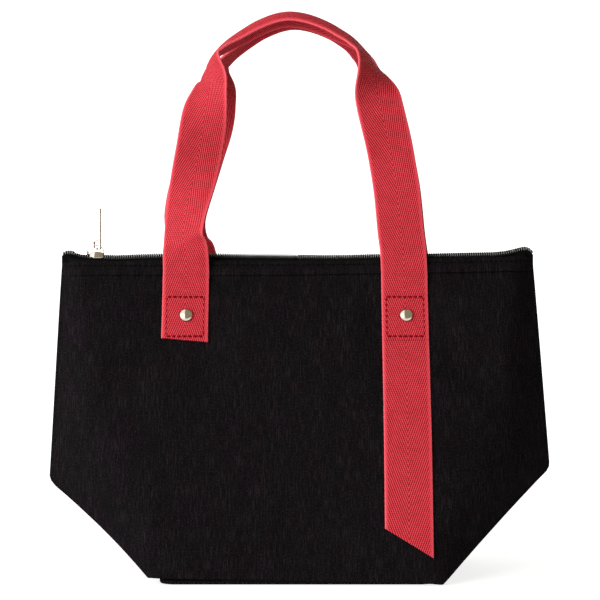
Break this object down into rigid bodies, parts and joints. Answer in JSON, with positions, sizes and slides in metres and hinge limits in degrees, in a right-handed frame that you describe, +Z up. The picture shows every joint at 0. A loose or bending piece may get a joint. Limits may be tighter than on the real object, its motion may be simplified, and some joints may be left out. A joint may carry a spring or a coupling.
{
  "type": "insulated lunch bag",
  "caption": "Soft insulated lunch tote with a flat base, folded side ears, a zip-top mouth, red webbing handles riveted to the walls and a loose strap end at the front.",
  "frame": {"origin": "middle of the base on the ground", "axes": "+X along the zip to the right as seen from the front, +Y towards the back, +Z up"},
  "size_m": [0.328, 0.119, 0.3666],
  "materials": {
    "black_cloth": "matt black polyester weave with short slubs",
    "black_board": "plain black sheet",
    "white_foam": "soft closed-cell foam sheet",
    "silver_lining": "silver metallised film",
    "black_tape": "woven black zip tape",
    "black_nylon": "black nylon coil",
    "red_webbing": "red herringbone webbing",
    "nickel": "bright nickel plate"
  },
  "bodies": {
    "base": {"base_panel": "black_cloth", "base_board": "black_board", "base_foam": "white_foam", "base_lining": "silver_lining", "left_gusset": "black_cloth", "left_gusset_foam": "white_foam", "left_gusset_lining": "silver_lining", "right_gusset": "black_cloth", "right_gusset_foam": "white_foam", "right_gusset_lining": "silver_lining", "left_zip_end": "black_tape", "right_zip_end": "black_tape", "zip_bottom_stop": "nickel"},
    "front_wall": {"front_panel": "black_cloth", "front_foam": "white_foam", "front_lining": "silver_lining", "front_rim_band": "black_cloth", "front_zip_tape": "black_tape", "front_zip_chain": "black_nylon", "front_zip_stop": "nickel", "front_left_anchor": "red_webbing", "front_left_rivet_cap": "nickel", "front_left_rivet_post": "nickel", "front_right_anchor": "red_webbing", "front_right_rivet_cap": "nickel", "front_right_rivet_post": "nickel"},
    "back_wall": {"back_panel": "black_cloth", "back_foam": "white_foam", "back_lining": "silver_lining", "back_rim_band": "black_cloth", "back_zip_tape": "black_tape", "back_zip_chain": "black_nylon", "back_zip_stop": "nickel", "back_left_anchor": "red_webbing", "back_left_rivet_cap": "nickel", "back_left_rivet_post": "nickel", "back_right_anchor": "red_webbing", "back_right_rivet_cap": "nickel", "back_right_rivet_post": "nickel"},
    "slider": {"zip_slider": "nickel"},
    "pull": {"zip_pull": "nickel"},
    "front_handle": {"front_handle": "red_webbing"},
    "back_handle": {"back_handle": "red_webbing"},
    "tail": {"strap_tail": "red_webbing"}
  },
  "joints": [
    {"name": "front_wall_open", "type": "hinge", "parent": "base", "child": "front_wall", "pos_m": [0, -0.06, 0.0035], "axis": [1, 0, 0], "range_deg": [0, 12], "deforming": ["front_zip_chain", "left_zip_end", "right_zip_end"]},
    {"name": "back_wall_open", "type": "hinge", "parent": "base", "child": "back_wall", "pos_m": [0, 0.06, 0.0035], "axis": [-1, 0, 0], "range_deg": [0, 12], "deforming": ["back_zip_chain"]},
    {"name": "zip_slide", "type": "slide", "parent": "base", "child": "slider", "axis": [1, 0, 0], "range_m": [0, 0.262]},
    {"name": "pull_swing", "type": "hinge", "parent": "slider", "child": "pull", "pos_m": [-0.13175, 0, 0.2111], "axis": [-0.6428, 0.766, 0], "range_deg": [-70, 70]},
    {"name": "front_handle_fold", "type": "hinge", "parent": "front_wall", "child": "front_handle", "pos_m": [0, -0.01913, 0.18115], "axis": [1, 0, 0], "range_deg": [0, 140]},
    {"name": "back_handle_fold", "type": "hinge", "parent": "back_wall", "child": "back_handle", "pos_m": [0, 0.01913, 0.18115], "axis": [-1, 0, 0], "range_deg": [0, 140]},
    {"name": "tail_lift", "type": "hinge", "parent": "front_wall", "child": "tail", "pos_m": [0.0706, -0.02899, 0.15085], "axis": [1, 0, 0], "range_deg": [-70, 0]}
  ],
  "couplings": [
    {"joint": "back_wall_open", "follows": "front_wall_open", "ratio": 1},
    {"joint": "zip_slide", "follows": "front_wall_open", "m_per_rad": 1.25}
  ]
}
